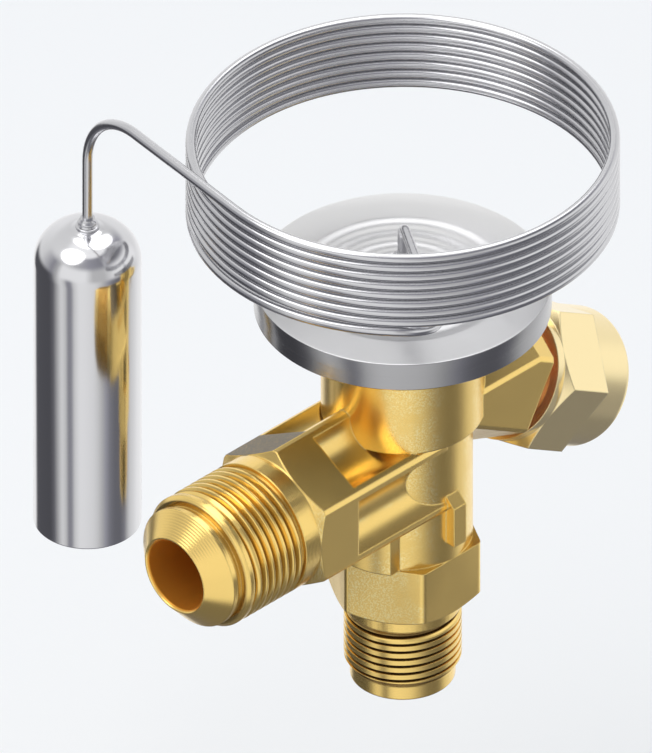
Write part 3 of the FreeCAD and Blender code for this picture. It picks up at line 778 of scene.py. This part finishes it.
# Brightness round the horizon at three heights, as (bearing in degrees, brightness)
low_light = (
    (0, 1.0), (74, 1.0), (86, 0.10), (136, 0.09), (147, 0.15), (157, 0.5), (167, 0.85), (177, 0.68),
    (183, 0.28), (190, 0.30), (197, 0.76), (208, 0.96), (221, 0.94), (238, 0.87), (248, 0.75),
    (257, 0.56), (266, 0.38), (276, 0.23), (288, 0.17), (303, 0.16), (315, 0.24), (323, 0.52),
    (331, 0.76), (360, 1.0),
)
middle_light = (
    (0, 0.9), (60, 1.0), (110, 0.8), (145, 0.3), (158, 0.5), (168, 1.0), (220, 1.0), (236, 0.6),
    (260, 0.6), (285, 1.0), (345, 1.05), (360, 0.9),
)
high_light = (
    (0, 0.4), (30, 0.7), (60, 0.8), (130, 0.85), (180, 0.6), (230, 0.35), (300, 0.2), (345, 0.22),
    (360, 0.4),
)


def studio_ring(finish, azimuth, stops):
    """A ring of light by bearing; its darker stretches are a little blue."""
    ramp = []
    for angle, bright in stops:
        blue = bright if bright > 0.4 else bright * 1.12
        ramp.append((angle / 360.0, (bright, bright, blue)))
    return finish.node("ShaderNodeValToRGB", {"stops": ramp}, {"Fac": azimuth})


def make_world():
    """Shiny faces see the rings of light, and all else a plain pale sky."""
    world = bpy.data.worlds.new("studio")
    bpy.context.scene.world = world
    world.use_nodes = True
    finish = Finish(world.node_tree)
    place = finish.node("ShaderNodeTexCoord", {}, {}, "Generated")
    x, y, z = axes(finish, place)
    azimuth = x.maths("ARCTAN2", y, x) * (0.5 / math.pi) + 1.0
    azimuth = x.maths("FRACT", azimuth)
    low = studio_ring(finish, azimuth, low_light)
    middle = studio_ring(finish, azimuth, middle_light)
    high = studio_ring(finish, azimuth, high_light)
    lower = colour_mix(finish, z.over(-0.30, -0.05), low, middle)
    lower = colour_mix(finish, z.over(-0.84, -0.68), under_sky, lower)
    studio = colour_mix(finish, z.over(0.34, 0.62), lower, high)
    studio = colour_mix(finish, z.over(0.85, 0.92), studio, top_sky)
    glossy = finish.node("ShaderNodeLightPath", {}, {}, "Is Glossy Ray")
    shown = colour_mix(finish, glossy, plain_sky, studio)
    background = finish.node("ShaderNodeBackground", {}, {"Color": shown, "Strength": 1.0})
    finish.node("ShaderNodeOutputWorld", {}, {"Surface": background}, None)


def make_floor():
    bpy.ops.object.select_all(action="DESELECT")
    bpy.ops.mesh.primitive_plane_add(size=floor_size, location=(0, 0, floor_height))
    floor = bpy.context.object
    floor.name = "floor"
    settle(floor)
    material = bpy.data.materials.new("pale_floor")
    material.use_nodes = True
    finish = Finish(material.node_tree)
    matt = finish.node("ShaderNodeBsdfDiffuse", {}, {"Color": floor_colour})
    finish.node("ShaderNodeOutputMaterial", {}, {"Surface": matt}, None)
    dress(floor, material)
    floor.visible_glossy = False


def make_softbox(name, azimuth, elevation, distance, size, power):
    """A round lamp that faces the part's middle from a bearing and a height."""
    aim = Vector((-0.005, 0.01, 0.07))
    flat = math.cos(math.radians(elevation))
    away = around(flat, azimuth, math.sin(math.radians(elevation)))
    bpy.ops.object.light_add(type="AREA", location=aim + away * distance)
    lamp = bpy.context.object
    lamp.name = name
    lamp.data.shape = "DISK"
    lamp.data.size = size
    lamp.data.energy = power
    lamp.rotation_euler = away.to_track_quat("Z", "Y").to_euler()


def make_camera():
    """Isometric view: azimuth -45 degrees, 35.26 degrees above the horizon, with no perspective."""
    pixels_per_mm = 5.33
    image_width, image_height = 652.0, 753.0
    origin_x, origin_y = 402.7, 669.3
    right = Vector((1, -1, 0)).normalized()
    up = Vector((1, 1, 2)).normalized()
    back = Vector((-1, -1, 1)).normalized()
    across = (0.5 * image_width - origin_x) / pixels_per_mm * MM
    upwards = (origin_y - 0.5 * image_height) / pixels_per_mm * MM
    distance = 0.8
    bpy.ops.object.camera_add(location=right * across + up * upwards + back * distance)
    camera = bpy.context.object
    camera.rotation_euler = back.to_track_quat("Z", "Y").to_euler()
    camera.data.type = "ORTHO"
    camera.data.ortho_scale = image_height / pixels_per_mm * MM
    camera.data.clip_start = 0.05
    camera.data.clip_end = 20.0
    bpy.context.scene.camera = camera


make_world()
make_floor()
make_softbox("left_softbox", azimuth=165.0, elevation=55.0, distance=0.7, size=0.55, power=1.2)
make_softbox("back_softbox", azimuth=33.0, elevation=66.0, distance=0.7, size=0.55, power=1.2)
make_camera()
bpy.context.scene.view_settings.view_transform = "Standard"
